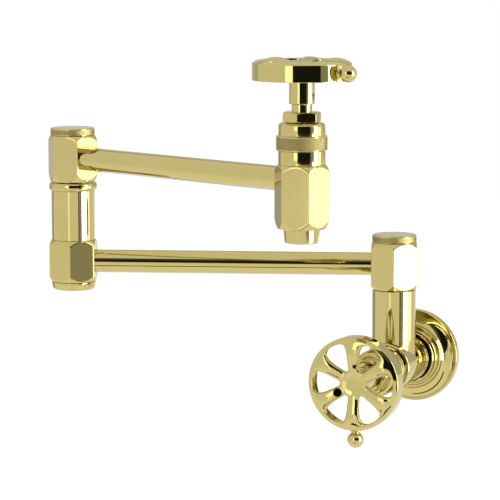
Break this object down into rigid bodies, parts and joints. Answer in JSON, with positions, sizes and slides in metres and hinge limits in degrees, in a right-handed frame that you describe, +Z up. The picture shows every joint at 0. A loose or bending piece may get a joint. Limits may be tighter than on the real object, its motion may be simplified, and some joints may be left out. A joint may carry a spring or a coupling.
{
  "type": "wall mounted pot filler",
  "caption": "Wall mounted folding tap: a valve on a round flange, a jointed double arm and a second valve over the outlet, each with a spoked hand wheel.",
  "frame": {"origin": "on the wall, on the axis of the inlet and of the wall valve", "axes": "+Z up, +X to the right along the wall as seen from the room, +Y into the wall"},
  "size_m": [0.2663, 0.2346, 0.2658],
  "materials": {
    "polished_brass": "mirror polished and lacquered",
    "machined_brass": "machined",
    "steel": "plain",
    "rubber": "moulded",
    "nylon": "moulded",
    "ceramic": "lapped"
  },
  "bodies": {
    "wall_valve": {"wall_flange": "polished_brass", "flange_gasket": "rubber", "flange_o_ring": "rubber", "inlet_shank": "polished_brass", "valve_body": "polished_brass", "riser_spindle": "machined_brass", "riser_lower_o_ring": "rubber", "riser_upper_o_ring": "rubber", "riser_thrust_washer": "nylon", "riser_spindle_nut": "machined_brass", "wall_knurled_ring": "polished_brass", "wall_bonnet": "polished_brass", "wall_gland_nut": "polished_brass", "wall_cartridge": "machined_brass", "wall_fixed_disc": "ceramic", "wall_seat_washer": "rubber"},
    "wall_handle": {"wall_moving_disc": "ceramic", "wall_stem": "machined_brass", "wall_stem_o_ring": "rubber", "wall_wheel": "polished_brass", "wall_finial": "polished_brass", "wall_set_screw": "steel"},
    "lower_arm": {"shoulder_hex": "polished_brass", "shoulder_cap": "polished_brass", "lower_tube": "polished_brass", "elbow_lower_hex": "polished_brass", "elbow_bottom_cap": "polished_brass", "elbow_cap_seal": "rubber", "elbow_column": "polished_brass", "elbow_bead": "polished_brass", "elbow_spindle": "machined_brass", "elbow_lower_o_ring": "rubber", "elbow_upper_o_ring": "rubber", "elbow_thrust_washer": "nylon", "elbow_spindle_nut": "machined_brass"},
    "upper_arm": {"elbow_upper_hex": "polished_brass", "elbow_top_cap": "polished_brass", "upper_tube": "polished_brass", "spout_body": "polished_brass", "nozzle": "polished_brass", "aerator_insert": "nylon", "aerator_washer": "rubber", "spout_knurled_ring": "polished_brass", "spout_bonnet": "polished_brass", "spout_gland_nut": "polished_brass", "spout_cartridge": "machined_brass", "spout_fixed_disc": "ceramic", "spout_seat_washer": "rubber"},
    "spout_handle": {"spout_moving_disc": "ceramic", "spout_stem": "machined_brass", "spout_stem_o_ring": "rubber", "spout_wheel": "polished_brass", "spout_finial": "polished_brass", "spout_set_screw": "steel"}
  },
  "joints": [
    {"name": "shoulder_swivel", "type": "hinge", "parent": "wall_valve", "child": "lower_arm", "pos_m": [0, -0.0472, 0.0706], "axis": [0, 0, 1], "range_deg": [-16.8, 163.2]},
    {"name": "elbow_swivel", "type": "hinge", "parent": "lower_arm", "child": "upper_arm", "pos_m": [-0.2154, -0.11223, 0.14325], "axis": [0, 0, 1], "continuous": true},
    {"name": "wall_tap_turn", "type": "hinge", "parent": "wall_valve", "child": "wall_handle", "pos_m": [0, -0.1, 0], "axis": [0, -1, 0], "range_deg": [0, 90]},
    {"name": "spout_tap_turn", "type": "hinge", "parent": "upper_arm", "child": "spout_handle", "pos_m": [-0.00953, -0.20303, 0.14325], "axis": [0, 0, 1], "range_deg": [0, 90]}
  ]
}
